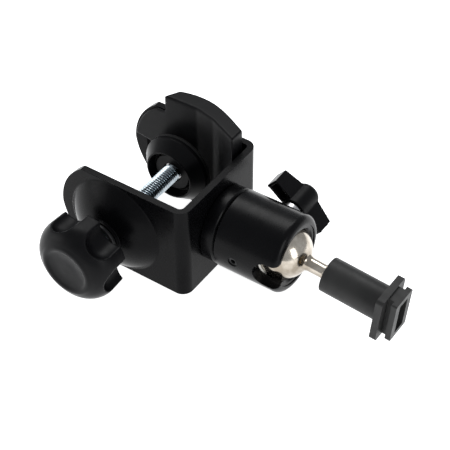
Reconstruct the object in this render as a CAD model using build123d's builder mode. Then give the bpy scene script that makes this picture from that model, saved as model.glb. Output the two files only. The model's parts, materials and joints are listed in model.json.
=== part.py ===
from build123d import *
from math import asin, cos, degrees, radians, sin, sqrt
import os

os.makedirs("parts", exist_ok=True)

# Umbrella swivel bracket: a U clamp with a ball head on its web and a shoe foot on the ball.
# +X runs along the head, +Y from the knob to the jaw, +Z up across the strip. Millimetres.
# The pieces are drawn with X = 0 on the web's outer face and Z = 0 on the head axis, and are
# written with the origin at the middle of the web's lower edge, which the bracket stands on.

# ---- Driving dimensions ----
STRIP_W = 46.0          # height of the bent steel strip
STRIP_T = 3.0           # its thickness
BRACKET_W = 54.0        # outside of one arm to the outside of the other
BEND_R = 5.0            # outer bend radius
SCREW_X = -35.5         # clamp screw axis
ARM_END_R = 28.0        # rounded arm end about the screw axis
DOME_R = 22.4           # pressed dome in each arm, radius at its rim
DOME_H = 9.0            # its height outwards
COIN_R = 8.6            # flat coined on the top of each dome

SCREW_R = 4.0           # M8 clamp screw
SCREW_PITCH = 1.25
KNOB_R = 18.6
KNOB_D = 20.0
KNOB_BACK_Y = -39.6

PAD_BACK_Y = 10.6       # rim of the swivel pad, knob side
PAD_STEP_Y = 15.0       # where its large disc starts
PAD_FACE_Y = 19.5       # clamping face
PAD_PIVOT_Y = 16.2      # centre of the screw's tip
PAD_RIM_R = 11.7
PAD_DISC_R = 16.0

JAW_TOP_Z = 31.5
JAW_LEFT_X = -45.6
JAW_RIGHT_X = -5.0

PAN_DEG = 3.0           # how far the housing is turned on its base
HEAD_R = 17.2
BASE_T = 6.4
HEAD_BACK_X = 6.8
HEAD_FRONT_X = 36.8
STUB_R = 9.0
BALL_X = 30.6
BALL_R = 11.8
BALL_GAP = 0.1
SLOT_W = 12.6           # slot that lets the stem lie at a right angle
SLOT_X = 32.4           # centre of its round end
RETAINER_R = 13.6

LOCK_X = 21.5           # wing screw axis along X
HUB_START = 20.9        # wing knob's hub, measured from the head axis
HUB_END = 34.4
HUB_R = 5.7
WING_NEAR = 21.9        # its two wings
WING_FAR = 29.7
WING_CREST = 33.0       # how far out the wings reach at the hub
WING_TIP = 14.65
WING_T = 6.9
WING_TILT = 40.0        # the wings slope down towards the foot

TILT_DEG = 4.0          # stem droops this much below the head axis
YAW_DEG = 0.8           # and points this much towards the slot
STEM_R = 3.0
SLEEVE_START = 21.4     # all foot lengths run from the ball centre
SLEEVE_END = 47.2
SLEEVE_R = 7.5
REAR_PLATE = (3.0, 18.2, 22.4)    # thickness, width, height
NECK = (2.5, 8.6, 20.4)
FRONT_PLATE = (2.4, 12.6, 20.4)

RUN_FIT = 0.05          # radial clearance of a turning fit

# ---- Derived places ----
HALF_W = BRACKET_W / 2
HALF_H = STRIP_W / 2
INNER_Y = HALF_W - STRIP_T
DOME_OUT_R = (DOME_R**2 + DOME_H**2) / (2 * DOME_H)
DOME_IN_R = DOME_OUT_R - 2.6
DOME_C = HALF_W + DOME_H - DOME_OUT_R
COIN_Y = HALF_W + DOME_H + 0.3
BUSH_R = 6.5

SCREW_AXIS = Axis((SCREW_X, 0, 0), (0, 1, 0))
PAN = radians(PAN_DEG)
LOCK_DIR = Vector(0, cos(PAN), sin(PAN))        # wing screw axis, outwards
SLOT_DIR = -LOCK_DIR                            # the slot faces the other way
BALL_C = Vector(BALL_X, 0, 0)
TILT = radians(TILT_DEG)
YAW = radians(YAW_DEG)
STEM_DIR = Vector(cos(TILT) * cos(YAW), -cos(TILT) * sin(YAW), -sin(TILT))
STEM_UP = Vector(sin(TILT), 0, cos(TILT))


def across(y, x=SCREW_X, z=0.0):
    """Plane facing +Y at height y, centred on the screw axis; its own y axis points down."""
    return Plane(origin=(x, y, z), x_dir=(1, 0, 0), z_dir=(0, 1, 0))


def along_lock(r):
    """Plane facing outwards along the wing screw, at distance r from the head axis."""
    return Plane(origin=Vector(LOCK_X, 0, 0) + LOCK_DIR * r, x_dir=(1, 0, 0), z_dir=LOCK_DIR)


def along_slot(x, r):
    """Plane facing outwards along the slot direction, at distance r from the head axis."""
    return Plane(origin=Vector(x, 0, 0) + SLOT_DIR * r, x_dir=(1, 0, 0), z_dir=SLOT_DIR)


def along_stem(d):
    """Plane facing along the stem at distance d from the ball centre; its y axis points up."""
    side = STEM_UP.cross(STEM_DIR)
    return Plane(origin=BALL_C + STEM_DIR * d, x_dir=side, z_dir=STEM_DIR)


def dome_point(radius, y_sign, r):
    """Point of a dome's section at radius r from the screw axis."""
    return (SCREW_X + r, y_sign * (DOME_C + sqrt(radius**2 - r**2)))


# ---- Clamp frame: one bent and pressed steel strip ----
arm_tip_angle = degrees(asin(HALF_H / ARM_END_R))
arm_top = (SCREW_X - sqrt(ARM_END_R**2 - HALF_H**2), HALF_H)
arm_mid_angle = radians(180 - arm_tip_angle / 2)
arm_mid = (SCREW_X + ARM_END_R * cos(arm_mid_angle), ARM_END_R * sin(arm_mid_angle))
arm_corner = (SCREW_X - ARM_END_R, 0)
arm_foot = (SCREW_X - 14.0, -HALF_H)
arm_heel = (SCREW_X - 24.3, -11.4)
inner_rim_r = sqrt(DOME_IN_R**2 - (INNER_Y - DOME_C) ** 2)

with BuildPart() as bracket_frame:
    with BuildSketch(Plane.XY.offset(-HALF_H)):
        with BuildLine():
            outer = FilletPolyline(
                (-70, -HALF_W), (0, -HALF_W), (0, HALF_W), (-70, HALF_W), radius=BEND_R
            )
            inner = FilletPolyline(
                (-70, -INNER_Y), (-STRIP_T, -INNER_Y), (-STRIP_T, INNER_Y), (-70, INNER_Y),
                radius=BEND_R - STRIP_T,
            )
            Line(outer @ 0, inner @ 0)
            Line(outer @ 1, inner @ 1)
        make_face()
    extrude(amount=STRIP_W)
    with BuildSketch(Plane.XZ):
        with BuildLine():
            Line((0, -HALF_H), arm_foot)
            ThreePointArc(arm_foot, arm_heel, arm_corner)
            ThreePointArc(arm_corner, arm_mid, arm_top)
            Polyline(arm_top, (0, HALF_H), (0, -HALF_H))
        make_face()
    extrude(amount=HALF_W, both=True, mode=Mode.INTERSECT)
    end_edges = bracket_frame.edges().filter_by(Axis.Y).filter_by(lambda e: e.center().X < -45)
    fillet(end_edges.filter_by(lambda e: abs(e.length - STRIP_T) < 0.01), radius=1.2)
    for y_sign in (-1, 1):
        with BuildSketch(Plane.XY):
            with BuildLine():
                Polyline(
                    dome_point(DOME_OUT_R, y_sign, 0),
                    (SCREW_X, y_sign * (INNER_Y + 0.5)),
                    (SCREW_X + DOME_R, y_sign * (INNER_Y + 0.5)),
                    dome_point(DOME_OUT_R, y_sign, DOME_R),
                )
                ThreePointArc(
                    dome_point(DOME_OUT_R, y_sign, DOME_R),
                    dome_point(DOME_OUT_R, y_sign, DOME_R / 2),
                    dome_point(DOME_OUT_R, y_sign, 0),
                )
            make_face()
        revolve(axis=SCREW_AXIS)
        with BuildSketch(across(y_sign * COIN_Y)):
            Circle(COIN_R)
        extrude(amount=-y_sign * 2.4)
        with BuildSketch(Plane.XY):
            with BuildLine():
                Polyline(
                    dome_point(DOME_IN_R, y_sign, 0),
                    (SCREW_X, y_sign * INNER_Y),
                    dome_point(DOME_IN_R, y_sign, inner_rim_r),
                )
                ThreePointArc(
                    dome_point(DOME_IN_R, y_sign, inner_rim_r),
                    dome_point(DOME_IN_R, y_sign, inner_rim_r / 2),
                    dome_point(DOME_IN_R, y_sign, 0),
                )
            make_face()
        revolve(axis=SCREW_AXIS, mode=Mode.SUBTRACT)
    with BuildSketch(across(-HALF_W - DOME_H - 5)):
        Circle(BUSH_R)
    extrude(amount=15, mode=Mode.SUBTRACT)
    with BuildSketch(across(HALF_W)):
        Circle(2.6)
    extrude(amount=15, mode=Mode.SUBTRACT)
    with BuildSketch(Plane.YZ.offset(-STRIP_T)):
        Circle(3.2)
    extrude(amount=STRIP_T, mode=Mode.SUBTRACT)
    rims = bracket_frame.edges().filter_by(GeomType.CIRCLE)
    fillet(rims.filter_by(lambda e: abs(e.radius - DOME_R) < 0.01), radius=1.4)
bracket_frame.part.label = "bracket_frame"

# ---- Threaded bush riveted into the near dome ----
with BuildPart() as screw_bush:
    with BuildSketch(across(-COIN_Y)):
        Circle(BUSH_R)
    extrude(amount=11)
    with BuildSketch(across(-COIN_Y - 1.6)):
        Circle(COIN_R - 0.8)
    extrude(amount=1.6)
    with BuildSketch(across(-COIN_Y - 2)):
        Circle(SCREW_R + RUN_FIT)
    extrude(amount=15, mode=Mode.SUBTRACT)
    chamfer(screw_bush.edges().group_by(Axis.Y)[0].filter_by(GeomType.CIRCLE), length=0.4)
screw_bush.part.label = "screw_bush"

# ---- Fixed jaw: V-faced plastic block that hooks over the far arm ----
jaw_front = [(JAW_LEFT_X, 22.8), (-29.0, 23.2), (-19.2, 21.0), (JAW_RIGHT_X, 14.6)]
jaw_back_x = -10.0
FLANGE_T = 1.2          # flange that covers the end of the far arm

with BuildPart() as jaw_block:
    with BuildSketch(Plane.XY.offset(-HALF_H)):
        with BuildLine():
            Polyline(*jaw_front, (JAW_RIGHT_X, 22.4), (jaw_back_x, INNER_Y))
            Polyline((jaw_back_x, INNER_Y), (JAW_LEFT_X, INNER_Y), jaw_front[0])
        make_face()
    extrude(amount=STRIP_W + 0.1)
    with BuildSketch(Plane.XY.offset(HALF_H + 0.1)):
        with BuildLine():
            Polyline(*jaw_front, (JAW_RIGHT_X, 22.4))
            Spline((JAW_RIGHT_X, 22.4), (-15.5, 27.6), (-27.2, 31.2), (-35.5, 31.1), (-42.0, 29.5))
            Line((-42.0, 29.5), jaw_front[0])
        make_face()
    extrude(amount=JAW_TOP_Z - HALF_H - 0.1)
    chamfer(jaw_block.edges().group_by(Axis.Z)[-1], length=0.6)
    nest_r = 19.5
    with BuildSketch(Plane.XY):
        with BuildLine():
            nest_y = DOME_C + sqrt((DOME_IN_R - 0.1) ** 2 - nest_r**2)
            nest_mid = DOME_C + sqrt((DOME_IN_R - 0.1) ** 2 - (nest_r / 2) ** 2)
            nest_top = DOME_C + DOME_IN_R - 0.1
            Polyline((SCREW_X, nest_top), (SCREW_X, INNER_Y - 0.6), (SCREW_X + nest_r, INNER_Y - 0.6))
            Line((SCREW_X + nest_r, INNER_Y - 0.6), (SCREW_X + nest_r, nest_y))
            ThreePointArc(
                (SCREW_X + nest_r, nest_y), (SCREW_X + nest_r / 2, nest_mid), (SCREW_X, nest_top)
            )
        make_face()
    revolve(axis=SCREW_AXIS)
    with BuildSketch(across(INNER_Y + 1.5)):
        Circle(2.05)
    extrude(amount=15, mode=Mode.SUBTRACT)
    with BuildSketch(Plane.XY.offset(-HALF_H)):
        with BuildLine():
            Polyline(*jaw_front, (JAW_RIGHT_X, 0), (JAW_LEFT_X - 10, 0))
            Polyline((JAW_LEFT_X - 10, 0), (JAW_LEFT_X - 10, 22.8), jaw_front[0])
        make_face()
    extrude(amount=STRIP_W, mode=Mode.SUBTRACT)
    with BuildSketch(across(INNER_Y)):
        with BuildLine():
            flange = ThreePointArc((-26.7, -3.6), (-23.2, -13.6), (-14.6, -22.6))
            Polyline(flange @ 1, (-9.6, -22.6), (-9.6, -1.2), flange @ 0)
        make_face()
    extrude(amount=-FLANGE_T)
jaw_block.part.label = "jaw_block"

# ---- Screw that holds the jaw from outside the far dome ----
with BuildPart() as jaw_screw:
    with BuildSketch(across(COIN_Y)):
        Circle(4.4)
    extrude(amount=2.4)
    fillet(jaw_screw.edges().group_by(Axis.Y)[-1], radius=1.2)
    with BuildSketch(across(COIN_Y + 1.0)):
        Rectangle(4.6, 1.0)
        Rectangle(1.0, 4.6)
    extrude(amount=3, mode=Mode.SUBTRACT)
    with BuildSketch(across(COIN_Y)):
        Circle(2.0)
    extrude(amount=-9.5)
jaw_screw.part.label = "jaw_screw"

# ---- Clamp screw: M8 rod with a captured tip ----
SCREW_END_Y = 14.0
TIP_R = 3.3

with BuildPart() as clamp_screw:
    with BuildSketch(across(KNOB_BACK_Y - 14)):
        Circle(SCREW_R)
    extrude(amount=SCREW_END_Y - KNOB_BACK_Y + 14)
    chamfer(clamp_screw.edges().group_by(Axis.Y)[-1], length=0.7)
    with BuildSketch(across(SCREW_END_Y)):
        Circle(2.4)
    extrude(amount=1.6)
    with BuildSketch(across(SCREW_END_Y + 1.4)):
        Circle(TIP_R)
    extrude(amount=1.6)
    chamfer(clamp_screw.edges().group_by(Axis.Y)[-1], length=0.5)
clamp_screw.part.label = "clamp_screw"

# ---- Six-lobed clamp knob ----
KNOB_FRONT_Y = KNOB_BACK_Y - KNOB_D
LOBES = 6
SCALLOP_R = 7.0
SCALLOP_LEN = 10.0          # straight part; each scallop then ends in a quarter ball
SCALLOP_AT = KNOB_R + 1.8
SCALLOP_FIRST = -110.0      # the sketch plane's y axis points down

with BuildPart() as clamp_knob:
    with BuildSketch(Plane.XY):
        with BuildLine():
            knob_shoulder = (SCREW_X + KNOB_R, KNOB_BACK_Y - 10.5)
            knob_brow = (SCREW_X + 12.4, KNOB_FRONT_Y + 0.6)
            knob_lip = (SCREW_X + 10.8, KNOB_FRONT_Y)
            knob_dish = (SCREW_X + 9.2, KNOB_FRONT_Y + 0.6)
            dish_y = KNOB_FRONT_Y + 1.2
            Polyline((SCREW_X, KNOB_BACK_Y), (SCREW_X + 7.6, KNOB_BACK_Y))
            Polyline((SCREW_X + 7.6, KNOB_BACK_Y), (SCREW_X + 8.4, KNOB_BACK_Y - 3.0))
            Line((SCREW_X + 8.4, KNOB_BACK_Y - 3.0), (SCREW_X + KNOB_R - 0.4, KNOB_BACK_Y - 3.0))
            Line((SCREW_X + KNOB_R - 0.4, KNOB_BACK_Y - 3.0), knob_shoulder)
            ThreePointArc(knob_shoulder, (SCREW_X + 16.7, KNOB_BACK_Y - 16.2), knob_brow)
            ThreePointArc(knob_brow, knob_lip, knob_dish)
            ThreePointArc(knob_dish, (SCREW_X + 6.4, dish_y - 0.14), (SCREW_X + 3.0, dish_y))
            Polyline((SCREW_X + 3.0, dish_y), (SCREW_X, dish_y), (SCREW_X, KNOB_BACK_Y))
        make_face()
    revolve(axis=SCREW_AXIS)
    with BuildSketch(across(KNOB_BACK_Y + 1)):
        with PolarLocations(SCALLOP_AT, LOBES, start_angle=SCALLOP_FIRST):
            Circle(SCALLOP_R)
    extrude(amount=-(SCALLOP_LEN + 1), mode=Mode.SUBTRACT)
    with Locations(across(KNOB_BACK_Y - SCALLOP_LEN)):
        with PolarLocations(SCALLOP_AT, LOBES, start_angle=SCALLOP_FIRST):
            Sphere(SCALLOP_R, mode=Mode.SUBTRACT)
    with BuildSketch(across(KNOB_BACK_Y)):
        Circle(5.2)
    extrude(amount=-14.2, mode=Mode.SUBTRACT)
clamp_knob.part.label = "clamp_knob"

# ---- Brass insert moulded into the knob ----
with BuildPart() as knob_insert:
    with BuildSketch(across(KNOB_BACK_Y)):
        Circle(5.2)
        Circle(SCREW_R, mode=Mode.SUBTRACT)
    extrude(amount=-14.0)
knob_insert.part.label = "knob_insert"

# ---- Swivel pad: stepped cup, rubber face and the clip that holds the screw's tip ----
PAD_FLOOR_Y = 17.4

with BuildPart() as pad_cup:
    with BuildSketch(Plane.XY):
        with BuildLine():
            Polyline(
                (SCREW_X + 4.5, 13.2),
                (SCREW_X + 8.7, 13.2),
                (SCREW_X + 9.0, 15.4),
                (SCREW_X + 10.6, 15.4),
                (SCREW_X + 11.0, PAD_BACK_Y),
                (SCREW_X + PAD_RIM_R, PAD_BACK_Y),
                (SCREW_X + PAD_DISC_R - 0.8, PAD_STEP_Y),
                (SCREW_X + PAD_DISC_R, PAD_STEP_Y + 0.8),
                (SCREW_X + PAD_DISC_R, PAD_FACE_Y - 1.8),
                (SCREW_X, PAD_FACE_Y - 1.8),
                (SCREW_X, PAD_FLOOR_Y),
                (SCREW_X + 4.5, PAD_FLOOR_Y),
                (SCREW_X + 4.5, 13.2),
            )
        make_face()
    revolve(axis=SCREW_AXIS)
pad_cup.part.label = "pad_cup"

with BuildPart() as pad_face:
    with BuildSketch(across(PAD_FACE_Y - 1.8)):
        Circle(PAD_DISC_R)
    extrude(amount=1.8)
    chamfer(pad_face.edges().group_by(Axis.Y)[-1], length=0.5)
    with BuildSketch(across(PAD_FACE_Y)):
        for groove_r in (5.0, 8.5, 12.0):
            Circle(groove_r + 0.5)
            Circle(groove_r - 0.5, mode=Mode.SUBTRACT)
    extrude(amount=-0.5, mode=Mode.SUBTRACT)
pad_face.part.label = "pad_face"

with BuildPart() as pad_clip:
    with BuildSketch(across(SCREW_END_Y + 0.35)):
        Circle(4.1)
        Circle(2.75, mode=Mode.SUBTRACT)
        with Locations((0, 4)):
            Rectangle(2.6, 8, mode=Mode.SUBTRACT)
    extrude(amount=0.8)
pad_clip.part.label = "pad_clip"

# ---- Head base: fixed disc with the stub that the housing turns on ----
GRUB_X = 16.6
GROOVE_HALF = 1.2       # half the width of the groove that the grub screw runs in
STUB_END_X = 18.3

with BuildPart() as head_base:
    with BuildSketch(Plane.XY):
        with BuildLine():
            Polyline(
                (0, 0),
                (0, HEAD_R - 1.0),
                (0.6, HEAD_R - 0.4),
                (BASE_T - 0.8, HEAD_R - 0.4),
                (BASE_T, HEAD_R - 1.2),
                (BASE_T, STUB_R),
                (GRUB_X - GROOVE_HALF, STUB_R),
                (GRUB_X, STUB_R - GROOVE_HALF),
                (GRUB_X + GROOVE_HALF, STUB_R),
                (STUB_END_X, STUB_R),
                (STUB_END_X, 0),
                (0, 0),
            )
        make_face()
    revolve(axis=Axis.X)
    with BuildSketch(Plane.YZ):
        Circle(2.9)
    extrude(amount=11, mode=Mode.SUBTRACT)
head_base.part.label = "head_base"

with BuildPart() as base_washer:
    with BuildSketch(Plane.YZ.offset(-STRIP_T - 1.2)):
        Circle(6.2)
        Circle(3.1, mode=Mode.SUBTRACT)
    extrude(amount=1.2)
base_washer.part.label = "base_washer"

with BuildPart() as base_screw:
    head_x = -STRIP_T - 1.2
    with BuildSketch(Plane.YZ.offset(head_x - 3.4)):
        Circle(5.2)
    extrude(amount=3.4)
    fillet(base_screw.edges().group_by(Axis.X)[0], radius=1.4)
    with BuildSketch(Plane.YZ.offset(head_x - 3.4)):
        RegularPolygon(radius=2.3, side_count=6)
    extrude(amount=2.2, mode=Mode.SUBTRACT)
    with BuildSketch(Plane.YZ.offset(head_x)):
        Circle(2.88)
    extrude(amount=13.4)
base_screw.part.label = "base_screw"

with BuildPart() as pan_washer:
    with BuildSketch(Plane.YZ.offset(BASE_T)):
        Circle(HEAD_R - 2.4)
        Circle(STUB_R + 0.15, mode=Mode.SUBTRACT)
    extrude(amount=HEAD_BACK_X - BASE_T - 0.02)
pan_washer.part.label = "pan_washer"

# ---- Ball head housing ----
HEAD_ROUND = 3.0
SLOT_REACH = 8.0        # from the round end's centre out through the front
CAVITY_R = 12.4
CAVITY_BACK_X = 18.7
COLLAR_FLAT = 16.6      # flat for the lock collar, from the head axis
COLLAR_R = 4.7
COLLAR_END = 20.5

with BuildPart() as head_housing:
    with BuildSketch(Plane.XY):
        with BuildLine():
            Polyline(
                (HEAD_BACK_X, STUB_R + RUN_FIT),
                (HEAD_BACK_X, HEAD_R - 0.8),
                (HEAD_BACK_X + 0.8, HEAD_R),
                (HEAD_FRONT_X - HEAD_ROUND, HEAD_R),
            )
            RadiusArc(
                (HEAD_FRONT_X - HEAD_ROUND, HEAD_R), (HEAD_FRONT_X, HEAD_R - HEAD_ROUND), HEAD_ROUND
            )
            Polyline(
                (HEAD_FRONT_X, HEAD_R - HEAD_ROUND),
                (HEAD_FRONT_X, RETAINER_R),
                (HEAD_FRONT_X - 5.4, RETAINER_R),
                (HEAD_FRONT_X - 5.4, CAVITY_R),
                (CAVITY_BACK_X, CAVITY_R),
                (CAVITY_BACK_X, STUB_R + RUN_FIT),
                (HEAD_BACK_X, STUB_R + RUN_FIT),
            )
        make_face()
    revolve(axis=Axis.X)
    with BuildSketch(along_slot(SLOT_X, 8.0)):
        Circle(SLOT_W / 2)
        with Locations((SLOT_REACH / 2, 0)):
            Rectangle(SLOT_REACH, SLOT_W)
    extrude(amount=12, mode=Mode.SUBTRACT)
    with BuildSketch(along_slot(GRUB_X, 8.0)):
        Circle(2.2)
    extrude(amount=12, mode=Mode.SUBTRACT)
    with BuildSketch(along_lock(8.0)):
        Circle(STEM_R + RUN_FIT)
    extrude(amount=12, mode=Mode.SUBTRACT)
    with BuildSketch(along_lock(COLLAR_FLAT)):
        Circle(COLLAR_R + 0.3)
    extrude(amount=4, mode=Mode.SUBTRACT)
head_housing.part.label = "head_housing"

# ---- Ring that keeps the ball in, with a funnel mouth ----
SOCKET_R = BALL_R + BALL_GAP
mouth_x = BALL_X + 4.4
mouth_r = sqrt(SOCKET_R**2 - 4.4**2)
ring_back_x = HEAD_FRONT_X - 5.3
ring_back_r = sqrt(SOCKET_R**2 - (ring_back_x - BALL_X) ** 2)
ring_mid_x = (ring_back_x + mouth_x) / 2
ring_mid_r = sqrt(SOCKET_R**2 - (ring_mid_x - BALL_X) ** 2)

with BuildPart() as ball_retainer:
    with BuildSketch(Plane.XY):
        with BuildLine():
            Polyline(
                (mouth_x, mouth_r),
                (HEAD_FRONT_X - 0.5, RETAINER_R - 1.4),
                (HEAD_FRONT_X - 0.4, RETAINER_R),
                (ring_back_x, RETAINER_R),
                (ring_back_x, ring_back_r),
            )
            ThreePointArc((ring_back_x, ring_back_r), (ring_mid_x, ring_mid_r), (mouth_x, mouth_r))
        make_face()
    revolve(axis=Axis.X)
    with BuildSketch(along_slot(SLOT_X, 6.0)):
        Circle(SLOT_W / 2)
        with Locations((SLOT_REACH / 2, 0)):
            Rectangle(SLOT_REACH, SLOT_W)
    extrude(amount=12, mode=Mode.SUBTRACT)
ball_retainer.part.label = "ball_retainer"

# ---- Seat ring behind the ball ----
SEAT_BACK_X = 24.4
SEAT_FRONT_X = 27.6
SEAT_OUT_R = CAVITY_R - 0.1


def socket_radius(x):
    """Radius of the ball's socket at x."""
    return sqrt(SOCKET_R**2 - (BALL_X - x) ** 2)


seat_mid_x = (SEAT_BACK_X + SEAT_FRONT_X) / 2
seat_front = (SEAT_FRONT_X, socket_radius(SEAT_FRONT_X))
seat_back = (SEAT_BACK_X, socket_radius(SEAT_BACK_X))

with BuildPart() as ball_seat:
    with BuildSketch(Plane.XY):
        with BuildLine():
            Polyline(seat_front, (SEAT_FRONT_X, SEAT_OUT_R), (SEAT_BACK_X, SEAT_OUT_R), seat_back)
            ThreePointArc(seat_back, (seat_mid_x, socket_radius(seat_mid_x)), seat_front)
        make_face()
    revolve(axis=Axis.X)
    with BuildSketch(along_slot(SLOT_X, 6.0)):
        Circle(SLOT_W / 2)
    extrude(amount=12, mode=Mode.SUBTRACT)
ball_seat.part.label = "ball_seat"

with BuildPart() as pan_grub_screw:
    with BuildSketch(along_slot(GRUB_X, 9.4)):
        Circle(2.18)
    extrude(amount=7.2)
    with BuildSketch(along_slot(GRUB_X, 16.6)):
        RegularPolygon(radius=1.25, side_count=6)
    extrude(amount=-2.4, mode=Mode.SUBTRACT)
    with BuildSketch(along_slot(GRUB_X, 9.05)):
        Circle(1.2)
    extrude(amount=0.4)
    with BuildSketch(along_slot(GRUB_X, 8.0)):
        Circle(0.2)
    with BuildSketch(along_slot(GRUB_X, 9.05)):
        Circle(1.2)
    loft()
pan_grub_screw.part.label = "pan_grub_screw"

# ---- Lock: brass shoe, stud, collar and wing knob ----
SHOE_R = 2.4
SHOE_TIP = 9.6
SHOE_END = 12.9

with BuildPart() as lock_shoe:
    with BuildSketch(along_lock(SHOE_TIP + 0.8)):
        Circle(SHOE_R)
    extrude(amount=SHOE_END - SHOE_TIP - 0.8)
    with BuildSketch(along_lock(SHOE_TIP)):
        Circle(1.6)
    with BuildSketch(along_lock(SHOE_TIP + 0.8)):
        Circle(SHOE_R)
    loft()
lock_shoe.part.label = "lock_shoe"

STUD_START = SHOE_END + 0.1
STUD_END = HUB_START + 9.0

with BuildPart() as lock_stud:
    with BuildSketch(along_lock(STUD_START)):
        Circle(STEM_R)
    extrude(amount=STUD_END - STUD_START)
lock_stud.part.label = "lock_stud"

with BuildPart() as lock_collar:
    with BuildSketch(along_lock(COLLAR_FLAT)):
        Circle(COLLAR_R)
        Circle(STEM_R + RUN_FIT, mode=Mode.SUBTRACT)
    extrude(amount=COLLAR_END - COLLAR_FLAT)
lock_collar.part.label = "lock_collar"

POCKET_DEPTH = 5.0
POCKET = (6.6, 4.7)     # length and width of the pocket under each wing
POCKET_AT = 10.0

wing_along = Vector(1, 0, 0) * cos(radians(WING_TILT)) + Vector(0, sin(PAN), -cos(PAN)) * sin(
    radians(WING_TILT)
)
wing_plane = Plane(
    origin=(LOCK_X, 0, 0), x_dir=wing_along, z_dir=wing_along.cross(LOCK_DIR)
)
wing_under = Plane(
    origin=Vector(LOCK_X, 0, 0) + LOCK_DIR * WING_NEAR, x_dir=wing_along, z_dir=LOCK_DIR
)

with BuildPart() as wing_knob:
    with BuildSketch(along_lock(HUB_START)):
        Circle(HUB_R)
    extrude(amount=HUB_END - HUB_START)
    fillet(wing_knob.edges().filter_by(GeomType.CIRCLE).sort_by(Axis.Y)[-1], radius=2.8)
    with BuildSketch(wing_plane):
        with BuildLine():
            Polyline(
                (-WING_TIP, WING_NEAR), (WING_TIP, WING_NEAR), (WING_TIP, WING_FAR),
                (0, WING_CREST), (-WING_TIP, WING_FAR), (-WING_TIP, WING_NEAR),
            )
        make_face()
    extrude(amount=WING_T / 2, both=True)
    with BuildSketch(wing_under):
        with Locations((-POCKET_AT, 0), (POCKET_AT, 0)):
            Rectangle(*POCKET)
    extrude(amount=POCKET_DEPTH, mode=Mode.SUBTRACT)
    with BuildSketch(along_lock(HUB_START)):
        Circle(STEM_R)
    extrude(amount=STUD_END - HUB_START, mode=Mode.SUBTRACT)
wing_knob.part.label = "wing_knob"

# ---- Ball and stem ----
with BuildPart() as ball:
    with BuildSketch(Plane.XY):
        with BuildLine():
            Line((BALL_X - BALL_R, 0), (BALL_X + BALL_R, 0))
            ThreePointArc((BALL_X + BALL_R, 0), (BALL_X, BALL_R), (BALL_X - BALL_R, 0))
        make_face()
    revolve(axis=Axis.X)
ball.part.label = "ball"

with BuildPart() as stem:
    with BuildSketch(along_stem(10.0)):
        Circle(3.7)
    extrude(amount=3.0)
    with BuildSketch(along_stem(13.0)):
        Circle(STEM_R)
    extrude(amount=19.5)
    with BuildSketch(along_stem(SLEEVE_START - 1.5)):
        Circle(3.9)
    extrude(amount=1.3)
    with Locations(BALL_C):
        Sphere(BALL_R + 0.07, mode=Mode.SUBTRACT)
stem.part.label = "stem"

# ---- Shoe foot: sleeve, grooved shoe and the threaded insert in the sleeve ----
rear_at = SLEEVE_END
neck_at = rear_at + REAR_PLATE[0]
front_at = neck_at + NECK[0]
PLATE_DROP = -1.2       # the plates sit a little lower than the sleeve's axis
INSERT_R = 4.8
INSERT_LEN = 13.0

with BuildPart() as shoe_foot:
    with BuildSketch(along_stem(SLEEVE_START)):
        Circle(SLEEVE_R)
    extrude(amount=SLEEVE_END - SLEEVE_START)
    for start, size, corner in (
        (rear_at, REAR_PLATE, 1.6), (neck_at, NECK, 0.4), (front_at, FRONT_PLATE, 0.7)
    ):
        with BuildSketch(along_stem(start)):
            with Locations((0, PLATE_DROP)):
                RectangleRounded(size[1], size[2], corner)
        extrude(amount=size[0])
    with BuildSketch(along_stem(front_at + FRONT_PLATE[0])):
        with Locations((0, PLATE_DROP)):
            RectangleRounded(6.2, 15.6, 0.5)
    extrude(amount=-4.0, mode=Mode.SUBTRACT)
    with BuildSketch(along_stem(SLEEVE_START)):
        Circle(INSERT_R)
    extrude(amount=INSERT_LEN, mode=Mode.SUBTRACT)
shoe_foot.part.label = "shoe_foot"

with BuildPart() as foot_insert:
    with BuildSketch(along_stem(SLEEVE_START + 0.2)):
        Circle(INSERT_R)
        Circle(STEM_R + RUN_FIT, mode=Mode.SUBTRACT)
    extrude(amount=INSERT_LEN - 0.4)
foot_insert.part.label = "foot_insert"

# ---- Write one STEP per sub-part, with the origin on the edge that the bracket stands on ----
TO_STANDING_EDGE = Location((STRIP_T / 2, 0, HALF_H))

for piece in (
    bracket_frame, screw_bush, jaw_block, jaw_screw, clamp_screw, clamp_knob, knob_insert,
    pad_cup, pad_face, pad_clip, head_base, base_washer, base_screw, pan_washer, head_housing,
    ball_retainer, ball_seat, pan_grub_screw, lock_shoe, lock_stud, lock_collar, wing_knob,
    ball, stem, shoe_foot, foot_insert,
):
    label = piece.part.label
    piece.part = piece.part.moved(TO_STANDING_EDGE)
    piece.part.label = label
    export_step(piece.part, f"parts/{label}.step")
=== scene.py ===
import json
from math import ceil, cos, pi, radians, sin

import bmesh
import bpy
from mathutils import Matrix, Quaternion, Vector


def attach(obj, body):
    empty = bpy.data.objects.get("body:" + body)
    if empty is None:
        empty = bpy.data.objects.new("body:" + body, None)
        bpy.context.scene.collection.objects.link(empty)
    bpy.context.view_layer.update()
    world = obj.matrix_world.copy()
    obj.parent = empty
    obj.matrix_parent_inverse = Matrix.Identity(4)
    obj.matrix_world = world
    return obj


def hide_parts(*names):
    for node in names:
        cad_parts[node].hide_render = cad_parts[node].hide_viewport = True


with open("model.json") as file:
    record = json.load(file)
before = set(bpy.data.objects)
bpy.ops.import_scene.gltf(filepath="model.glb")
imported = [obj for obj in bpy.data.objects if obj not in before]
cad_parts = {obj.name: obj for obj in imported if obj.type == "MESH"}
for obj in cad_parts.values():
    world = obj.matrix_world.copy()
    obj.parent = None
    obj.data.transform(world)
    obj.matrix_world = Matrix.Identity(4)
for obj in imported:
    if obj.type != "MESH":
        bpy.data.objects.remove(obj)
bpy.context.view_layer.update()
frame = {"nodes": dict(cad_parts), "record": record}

BODY_OF = {
    node: body
    for body, members in frame["record"]["behaviour"]["bodies"].items()
    for node in members
}
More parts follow.
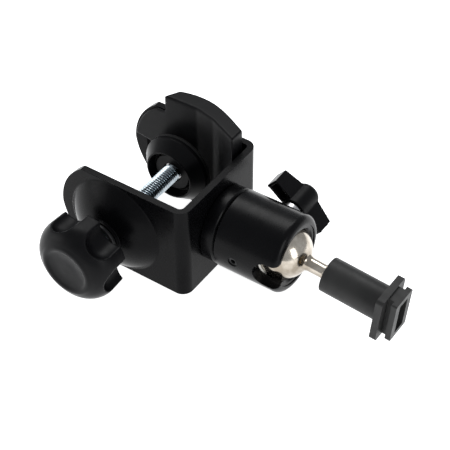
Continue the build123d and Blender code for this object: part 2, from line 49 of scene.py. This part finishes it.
SLOT_OF = {p["node"]: p["material_slot"] for p in frame["record"]["subparts"]}
JOINTS = {j["name"]: j for j in frame["record"]["behaviour"]["joints"]}
MM = 0.001

# ---- Axes of the moving parts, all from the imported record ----
SCREW_AT = Vector(JOINTS["clamp_screw_turn"]["pos_m"])
SCREW_DIR = Vector(JOINTS["clamp_screw_turn"]["axis"])
LOCK_AT = Vector(JOINTS["lock_turn"]["pos_m"])
LOCK_DIR = Vector(JOINTS["lock_turn"]["axis"])
BALL_AT = Vector(JOINTS["ball_swing"]["pos_m"])
STEM_DIR = Vector(JOINTS["foot_spin"]["axis"])


# ---- Camera, lights and floor ----
CAM_AZIMUTH, CAM_ELEVATION, CAM_ROLL = radians(34.61), radians(43.62), radians(-0.35)
CAM_TARGET = Vector((4.97, -3.05, 24.94)) * MM
CAM_DISTANCE = 527.9 * MM
CAM_LENS = 102.13       # on a 36 mm sensor
SKY_COLOUR = (0.93, 0.96, 1.0, 1.0)
SKY_STRENGTH = 0.5
# name, place in metres, size in metres, watts
LAMPS = (
    ("overhead", (-0.35, 0.45, 0.85), (0.8, 0.4), 5.6),
    ("key_right", (0.9, -0.25, 0.4), (0.3, 0.6), 3.2),
    ("fill_left", (-0.8, -0.6, 0.25), (0.5, 0.4), 1.8),
)
LAMP_AIM = Vector((0.0, 0.0, 0.02))
FLOOR_R = 4.0
FLOOR_COLOUR = (0.9, 0.9, 0.9, 1.0)
FLOOR_GLOW = 0.9


def place_camera():
    back = Vector((
        sin(CAM_AZIMUTH) * cos(CAM_ELEVATION),
        -cos(CAM_AZIMUTH) * cos(CAM_ELEVATION),
        sin(CAM_ELEVATION),
    ))
    cam_data = bpy.data.cameras.new("camera")
    cam_data.sensor_width = 36.0
    cam_data.lens = CAM_LENS
    cam_data.clip_start = 0.01
    cam_data.clip_end = 20.0
    cam = bpy.data.objects.new("camera", cam_data)
    cam.location = CAM_TARGET + back * CAM_DISTANCE
    cam.rotation_mode = "QUATERNION"
    level = (-back).to_track_quat("-Z", "Y")
    cam.rotation_quaternion = level @ Quaternion((0, 0, 1), CAM_ROLL)
    bpy.context.scene.collection.objects.link(cam)
    bpy.context.scene.camera = cam


def light_scene():
    world = bpy.data.worlds.new("world")
    bpy.context.scene.world = world
    world.use_nodes = True
    sky = world.node_tree.nodes["Background"]
    sky.inputs["Color"].default_value = SKY_COLOUR
    sky.inputs["Strength"].default_value = SKY_STRENGTH
    for name, where, size, power in LAMPS:
        data = bpy.data.lights.new(name, "AREA")
        data.shape = "RECTANGLE"
        data.size, data.size_y = size
        data.energy = power
        lamp = bpy.data.objects.new(name, data)
        lamp.location = where
        lamp.rotation_mode = "QUATERNION"
        lamp.rotation_quaternion = (LAMP_AIM - lamp.location).to_track_quat("-Z", "Y")
        bpy.context.scene.collection.objects.link(lamp)


def lay_floor():
    bm = bmesh.new()
    bmesh.ops.create_circle(bm, cap_ends=True, segments=96, radius=FLOOR_R)
    floor = linked("floor", bm)
    mat = bpy.data.materials.new("pale_floor")
    mat.use_nodes = True
    shader = mat.node_tree.nodes["Principled BSDF"]
    shader.inputs["Base Color"].default_value = FLOOR_COLOUR
    shader.inputs["Roughness"].default_value = 0.9
    shader.inputs["Emission Color"].default_value = (1.0, 1.0, 1.0, 1.0)
    shader.inputs["Emission Strength"].default_value = FLOOR_GLOW
    floor.data.materials.append(mat)


def studio():
    bpy.context.scene.view_settings.view_transform = "Standard"
    bpy.context.scene.view_settings.look = "None"
    place_camera()
    light_scene()
    lay_floor()


# ---- Materials ----
class Nodes:
    """Short names for building one node tree."""

    def __init__(self, name):
        self.mat = bpy.data.materials.new(name)
        self.mat.use_nodes = True
        self.tree = self.mat.node_tree
        self.shader = self.tree.nodes["Principled BSDF"]
        coords = self.tree.nodes.new("ShaderNodeTexCoord")
        self.place = coords.outputs["Object"]

    def link(self, a, b):
        self.tree.links.new(a, b)

    def noise(self, scale, detail=3.0, roughness=0.55, at=None):
        n = self.tree.nodes.new("ShaderNodeTexNoise")
        n.inputs["Scale"].default_value = scale
        n.inputs["Detail"].default_value = detail
        n.inputs["Roughness"].default_value = roughness
        self.link(at or self.place, n.inputs["Vector"])
        return n.outputs["Fac"]

    def stretched(self, scale):
        n = self.tree.nodes.new("ShaderNodeMapping")
        n.inputs["Scale"].default_value = scale
        self.link(self.place, n.inputs["Vector"])
        return n.outputs["Vector"]

    def span(self, value, low, high, start=0.35, end=0.65):
        n = self.tree.nodes.new("ShaderNodeMapRange")
        n.inputs["From Min"].default_value = start
        n.inputs["From Max"].default_value = end
        n.inputs["To Min"].default_value = low
        n.inputs["To Max"].default_value = high
        self.link(value, n.inputs["Value"])
        return n.outputs["Result"]

    def mix(self, factor, a, b):
        n = self.tree.nodes.new("ShaderNodeMix")
        n.data_type = "RGBA"
        self.link(factor, n.inputs["Factor"])
        for socket, value in ((n.inputs[6], a), (n.inputs[7], b)):
            if isinstance(value, tuple):
                socket.default_value = (*value, 1.0)
            else:
                self.link(value, socket)
        return n.outputs[2]

    def multiply(self, a, b):
        n = self.tree.nodes.new("ShaderNodeMath")
        n.operation = "MULTIPLY"
        self.link(a, n.inputs[0])
        self.link(b, n.inputs[1])
        return n.outputs["Value"]

    def facing(self):
        """0 where the surface faces the viewer, 1 where it is seen edge-on."""
        n = self.tree.nodes.new("ShaderNodeLayerWeight")
        n.inputs["Blend"].default_value = 0.5
        return n.outputs["Facing"]

    def edge_mask(self, radius, spread):
        """1 along sharp edges, 0 on the open surface."""
        bevel = self.tree.nodes.new("ShaderNodeBevel")
        bevel.samples = 4
        bevel.inputs["Radius"].default_value = radius
        geo = self.tree.nodes.new("ShaderNodeNewGeometry")
        dot = self.tree.nodes.new("ShaderNodeVectorMath")
        dot.operation = "DOT_PRODUCT"
        self.link(bevel.outputs["Normal"], dot.inputs[0])
        self.link(geo.outputs["Normal"], dot.inputs[1])
        return self.span(dot.outputs["Value"], 1.0, 0.0, 1.0 - spread, 0.998)

    def bump(self, height, distance):
        n = self.tree.nodes.new("ShaderNodeBump")
        n.inputs["Strength"].default_value = 1.0
        n.inputs["Distance"].default_value = distance
        self.link(height, n.inputs["Height"])
        return n.outputs["Normal"]


EDGE_REACH = 0.3 * MM       # how wide the wear along an edge is
EDGE_SPREAD = 0.12
WEAR_SCALE = 420.0
GLOSS_SCALE = 260.0


def finish_material(
    name, dark, light, rough, edge=None, blotch=70.0, grain=1500.0, grain_height=0.004 * MM,
    metal=0.0, specular=0.5, stretch=None, glancing=1.0,
):
    """One procedural finish: blotchy colour, grain, edge wear, roughness and bump from nodes.

    Roughness is multiplied by glancing where the surface is seen edge-on.
    """
    n = Nodes(name)
    cloud = n.noise(blotch)
    colour = n.mix(n.span(cloud, 0.0, 1.0), dark, light)
    fine = n.noise(grain, 2.0, 0.6, n.stretched(stretch) if stretch else None)
    if edge is not None:
        patches = n.span(n.noise(WEAR_SCALE), 0.15, 0.8)
        worn = n.multiply(n.edge_mask(EDGE_REACH, EDGE_SPREAD), patches)
        colour = n.mix(worn, colour, edge)
    n.link(colour, n.shader.inputs["Base Color"])
    low, high = rough
    gloss = n.span(n.noise(GLOSS_SCALE, 4.0), low, high, 0.3, 0.7)
    edge_on = n.span(n.facing(), 1.0, glancing, 0.5, 0.95)
    n.link(n.multiply(gloss, edge_on), n.shader.inputs["Roughness"])
    n.link(n.bump(fine, grain_height), n.shader.inputs["Normal"])
    n.shader.inputs["Metallic"].default_value = metal
    n.shader.inputs["Specular IOR Level"].default_value = specular
    return n.mat


# Dark colour, light colour, roughness range, then what differs from finish_material's own values.
FINISHES = {
    "black_paint": (
        (0.0014, 0.0014, 0.0017), (0.0027, 0.0027, 0.0031), (0.24, 0.34),
        dict(
            edge=(0.03, 0.03, 0.032), grain=900.0, grain_height=0.002 * MM, specular=0.06,
            glancing=0.35,
        ),
    ),
    "black_anodised": (
        (0.0012, 0.0012, 0.0016), (0.0024, 0.0024, 0.0028), (0.24, 0.33),
        dict(
            edge=(0.05, 0.05, 0.052), grain=260.0, grain_height=0.002 * MM,
            stretch=(40.0, 1.0, 1.0), specular=0.10, glancing=0.35,
        ),
    ),
    "zinc_steel": (
        (0.36, 0.42, 0.46), (0.52, 0.58, 0.62), (0.2, 0.28),
        dict(metal=1.0, blotch=240.0, grain_height=0.0008 * MM),
    ),
    # black_steel: the grub screw's own black finish; on the threaded bush it is also painted
    # shade for the dark gap behind the knob.
    "black_steel": (
        (0.008, 0.008, 0.009), (0.016, 0.016, 0.017), (0.3, 0.42),
        dict(edge=(0.1, 0.1, 0.1), metal=0.4, blotch=300.0, specular=0.3),
    ),
    "spring_steel": (
        (0.40, 0.40, 0.41), (0.52, 0.52, 0.53), (0.2, 0.34),
        dict(edge=(0.7, 0.7, 0.7), metal=1.0, blotch=260.0),
    ),
    "nickel": (
        (0.30, 0.26, 0.21), (0.62, 0.57, 0.50), (0.13, 0.24),
        dict(edge=(0.6, 0.56, 0.5), metal=1.0, blotch=120.0, grain_height=0.0012 * MM),
    ),
    "brass": (
        (0.55, 0.40, 0.16), (0.68, 0.50, 0.22), (0.2, 0.34),
        dict(edge=(0.8, 0.65, 0.35), metal=1.0, blotch=220.0),
    ),
    "black_plastic": (
        (0.0022, 0.0022, 0.0027), (0.0042, 0.0042, 0.0048), (0.34, 0.45),
        dict(
            edge=(0.028, 0.028, 0.03), grain=2300.0, grain_height=0.006 * MM, specular=0.09,
            glancing=0.6,
        ),
    ),
    "grey_plastic": (
        (0.016, 0.016, 0.0158), (0.024, 0.024, 0.0236), (0.4, 0.52),
        dict(edge=(0.06, 0.06, 0.062), grain=2100.0, grain_height=0.008 * MM, specular=0.2),
    ),
    "nylon": (
        (0.66, 0.65, 0.61), (0.78, 0.77, 0.73), (0.4, 0.55),
        dict(edge=(0.85, 0.84, 0.8), grain=1800.0),
    ),
    "rubber": (
        (0.006, 0.006, 0.006), (0.010, 0.010, 0.010), (0.58, 0.72),
        dict(edge=(0.03, 0.03, 0.03), grain=2600.0, grain_height=0.016 * MM, specular=0.3),
    ),
}


# ---- Mesh tools ----
WELD = 0.001 * MM           # points closer than this are one point
FLAT_DEG = 0.6              # neighbouring faces this flat are merged
BEVEL_DEG = 28.0            # edges sharper than this are softened
BEVEL_STEPS = 3
THREAD_EDGE_DEG = 30.0      # thread edges sharper than this are shaded sharp


def linked(name, bm):
    """A new object from a bmesh, which is freed."""
    mesh = bpy.data.meshes.new(name)
    bm.to_mesh(mesh)
    bm.free()
    ob = bpy.data.objects.new(name, mesh)
    bpy.context.scene.collection.objects.link(ob)
    return ob


def applied(ob):
    """Applies every modifier of a piece to its mesh."""
    bpy.context.view_layer.update()
    graph = bpy.context.evaluated_depsgraph_get()
    mesh = bpy.data.meshes.new_from_object(ob.evaluated_get(graph))
    mesh.name = ob.name
    ob.modifiers.clear()
    ob.data = mesh
    return ob


def cad_copy(node, name):
    """A new piece with a CAD node's surface, its flat faces merged."""
    bm = bmesh.new()
    bm.from_mesh(frame["nodes"][node].data)
    bmesh.ops.remove_doubles(bm, verts=bm.verts, dist=WELD)
    bmesh.ops.dissolve_limit(
        bm, angle_limit=radians(FLAT_DEG), verts=bm.verts, edges=bm.edges,
        use_dissolve_boundaries=False,
    )
    return linked(name, bm)


def stands_for(ob, finish, node):
    """Gives a piece its finish and body, and hides the CAD node it stands for."""
    ob.data.materials.clear()
    ob.data.materials.append(finish)
    for poly in ob.data.polygons:
        poly.use_smooth = True
        poly.material_index = 0
    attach(ob, BODY_OF[node])
    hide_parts(node)
    return ob


def softened(node, name, finish, width):
    """A CAD node's shape with small real radii, width in mm, on its edges."""
    ob = cad_copy(node, name)
    bevel = ob.modifiers.new("bevel", "BEVEL")
    bevel.limit_method = "ANGLE"
    bevel.angle_limit = radians(BEVEL_DEG)
    bevel.width = width * MM
    bevel.segments = BEVEL_STEPS
    bevel.use_clamp_overlap = True
    bevel.harden_normals = False
    for poly in ob.data.polygons:
        poly.use_smooth = True
    weighted = ob.modifiers.new("weighted", "WEIGHTED_NORMAL")
    weighted.keep_sharp = True
    weighted.weight = 60
    return stands_for(applied(ob), FINISH[finish], node)


def moulded(node, name, finish, voxel, rounds):
    """A CAD node's shape in voxels of a size in mm, with every edge rounded by smoothing."""
    ob = cad_copy(node, name)
    remesh = ob.modifiers.new("remesh", "REMESH")
    remesh.mode = "VOXEL"
    remesh.voxel_size = voxel * MM
    smooth = ob.modifiers.new("smooth", "SMOOTH")
    smooth.factor = 0.5
    smooth.iterations = rounds
    return stands_for(applied(ob), FINISH[finish], node)


def axis_frame(at, direction):
    """Matrix whose Z runs along a direction, with its origin at a point."""
    turn = direction.to_track_quat("Z", "Y").to_matrix().to_4x4()
    return Matrix.Translation(at) @ turn


def lathe(name, profile, at, direction, segments):
    """Turns (distance, radius) pairs in mm about a line; the first and last radius may be 0."""
    bm = bmesh.new()
    place = axis_frame(at, direction)
    rings = []
    for distance, radius in profile:
        if radius < 1e-6:
            rings.append([bm.verts.new(place @ Vector((0, 0, distance * MM)))])
            continue
        rings.append([
            bm.verts.new(place @ Vector((
                radius * cos(2 * pi * k / segments) * MM,
                radius * sin(2 * pi * k / segments) * MM,
                distance * MM,
            )))
            for k in range(segments)
        ])
    for a, b in zip(rings, rings[1:]):
        for k in range(segments):
            m = (k + 1) % segments
            corners = [a[k % len(a)], a[m % len(a)], b[m % len(b)], b[k % len(b)]]
            corners = list(dict.fromkeys(corners))
            if len(corners) > 2:
                bm.faces.new(corners)
    bmesh.ops.recalc_face_normals(bm, faces=bm.faces)
    return linked(name, bm)


ROUND_STEPS = 4


def rounded(points, radius):
    """A (distance, radius) profile with its inner corners rounded."""
    out = [points[0]]
    for before, corner, after in zip(points, points[1:], points[2:]):
        c = Vector(corner)
        a, b = Vector(before) - c, Vector(after) - c
        reach = min(radius, a.length * 0.45, b.length * 0.45)
        start, end = c + a.normalized() * reach, c + b.normalized() * reach
        for k in range(ROUND_STEPS + 1):
            t = k / ROUND_STEPS
            p = start * (1 - t) ** 2 + c * (2 * t * (1 - t)) + end * t**2
            out.append((p.x, p.y))
    out.append(points[-1])
    return out


# One turn of a thread: how far along the pitch, and how far from root (0) to crest (1).
THREAD_SHAPE = ((0.0, 0.0), (0.03, 0.0), (0.47, 1.0), (0.53, 1.0), (0.97, 0.0))


def threaded_rod(name, at, direction, length, major, minor, pitch, segments, taper):
    """A right-handed thread in mm: rows follow the helix, and both ends are chamfered."""
    place = axis_frame(at, direction)
    rows_per_turn = len(THREAD_SHAPE)
    turns = int(ceil(length / pitch)) + 2
    bm = bmesh.new()

    def vertex(turn, row, column):
        phase, height = THREAD_SHAPE[row]
        z = (turn - 1 + phase + column / segments) * pitch
        z = min(max(z, 0.0), length)
        radius = minor + (major - minor) * height
        end = min(z, length - z)
        radius = min(radius, major - taper + end)
        angle = 2 * pi * column / segments
        return bm.verts.new(place @ Vector((
            radius * cos(angle) * MM, radius * sin(angle) * MM, z * MM,
        )))

    grid = [
        [vertex(turn, row, column) for column in range(segments)]
        for turn in range(turns)
        for row in range(rows_per_turn)
    ]
    last = len(grid) - 1
    for i in range(last):
        for k in range(segments):
            if k < segments - 1:
                quad = [grid[i][k], grid[i][k + 1], grid[i + 1][k + 1], grid[i + 1][k]]
            elif i + rows_per_turn + 1 <= last:
                quad = [
                    grid[i][k], grid[i + rows_per_turn][0], grid[i + 1 + rows_per_turn][0],
                    grid[i + 1][k],
                ]
            else:
                continue
            bm.faces.new(quad)
    bmesh.ops.remove_doubles(bm, verts=bm.verts, dist=2 * WELD)
    bmesh.ops.dissolve_degenerate(bm, dist=WELD, edges=bm.edges)
    bmesh.ops.holes_fill(bm, edges=[e for e in bm.edges if e.is_boundary], sides=0)
    bmesh.ops.recalc_face_normals(bm, faces=bm.faces)
    return linked(name, bm)


def joined(name, *obs):
    """Several meshes as one piece."""
    bm = bmesh.new()
    for ob in obs:
        bm.from_mesh(ob.data)
        bpy.data.objects.remove(ob)
    return linked(name, bm)


def along(node, at, direction):
    """First and last distance of a CAD node along a line, in mm."""
    reach = [(v.co - at).dot(direction) / MM for v in frame["nodes"][node].data.vertices]
    return min(reach), max(reach)


studio()
FINISH = {
    name: finish_material(name, dark, light, rough, **details)
    for name, (dark, light, rough, details) in FINISHES.items()
}

# ---- Clamp frame ----
softened("bracket_frame", "bent_strip", "black_paint", 0.45)
moulded("jaw_block", "fixed_jaw", "black_plastic", 0.45, 6)
# The bush gets the dark black_steel finish as painted shade: its black stands in for the shadow
# in the gap between the knob and the dome.
softened("screw_bush", "shade_darkened_bush", "black_steel", 0.2)
softened("jaw_screw", "jaw_screw_head", "zinc_steel", 0.12)
softened("head_base", "head_base_disc", "black_anodised", 0.2)
softened("base_screw", "socket_screw", "zinc_steel", 0.12)
softened("base_washer", "plain_washer", "zinc_steel", 0.15)

# ---- Clamp screw, knob and pad ----
ROD_START, ROD_END = along("clamp_screw", SCREW_AT, SCREW_DIR)
ROD_MAJOR, ROD_MINOR = 4.0, 3.3
ROD_PITCH = 1.25
ROD_TIP = 3.0               # plain end that turns in the pad
NECK_R, TIP_R = 2.4, 3.3


def make_clamp_rod():
    thread_end = ROD_END - ROD_TIP
    thread = threaded_rod(
        "rod", SCREW_AT + SCREW_DIR * ROD_START * MM, SCREW_DIR, thread_end - ROD_START,
        ROD_MAJOR, ROD_MINOR, ROD_PITCH, 48, 0.8,
    )
    head_start = thread_end + 1.4
    tip_profile = rounded([
        (thread_end - 0.6, 0.0), (thread_end - 0.6, NECK_R), (head_start, NECK_R),
        (head_start, TIP_R), (ROD_END, TIP_R), (ROD_END, 0.0),
    ], 0.4)
    tip = lathe("tip", tip_profile, SCREW_AT, SCREW_DIR, 48)
    rod = stands_for(joined("clamp_rod", thread, tip), FINISH["zinc_steel"], "clamp_screw")
    rod.data.set_sharp_from_angle(angle=radians(THREAD_EDGE_DEG))


make_clamp_rod()
moulded("clamp_knob", "lobed_knob", "black_plastic", 0.34, 10)
softened("pad_cup", "pad_cup_moulding", "black_plastic", 0.3)
softened("pad_face", "pad_rubber", "rubber", 0.2)

# ---- Ball head ----
STUD_START, STUD_END = along("lock_stud", LOCK_AT, LOCK_DIR)
STUD_MAJOR, STUD_MINOR = 3.0, 2.5
STUD_PITCH = 1.0


def make_lock_stud():
    stud = threaded_rod(
        "lock_rod", LOCK_AT + LOCK_DIR * STUD_START * MM, LOCK_DIR, STUD_END - STUD_START,
        STUD_MAJOR, STUD_MINOR, STUD_PITCH, 40, 0.5,
    )
    stands_for(stud, FINISH["zinc_steel"], "lock_stud")
    stud.data.set_sharp_from_angle(angle=radians(THREAD_EDGE_DEG))


softened("head_housing", "housing", "black_anodised", 0.4)
softened("ball_retainer", "funnel_ring", "black_anodised", 0.2)
softened("pan_grub_screw", "hex_grub_screw", "black_steel", 0.1)
softened("lock_collar", "wing_collar", "spring_steel", 0.15)
make_lock_stud()
moulded("wing_knob", "wing_moulding", "black_plastic", 0.28, 4)

# ---- Ball, stem and foot: distances run from the ball's centre ----
STEM_END = along("stem", BALL_AT, STEM_DIR)[1]
STEM_R = 3.0
FLARE_START, FLARE_END = 11.0, 12.8     # starts inside the ball
FLANGE_START, FLANGE_END = 19.9, 21.2
FLANGE_R = 3.9


def make_stem():
    profile = rounded([
        (FLARE_START, 0.0), (FLARE_START, 3.9), (11.7, 3.4), (FLARE_END, STEM_R),
        (FLANGE_START, STEM_R), (FLANGE_START, FLANGE_R), (FLANGE_END, FLANGE_R),
        (FLANGE_END, STEM_R), (STEM_END, STEM_R), (STEM_END, 0.0),
    ], 0.25)
    stem = lathe("stem_rod", profile, BALL_AT, STEM_DIR, 64)
    stands_for(stem, FINISH["nickel"], "stem")


make_stem()
softened("shoe_foot", "shoe_moulding", "grey_plastic", 0.35)

# ---- Finishes of the CAD nodes, seven of which are seen as they are ----
for node, ob in frame["nodes"].items():
    ob.data.materials.clear()
    ob.data.materials.append(FINISH[SLOT_OF[node]])
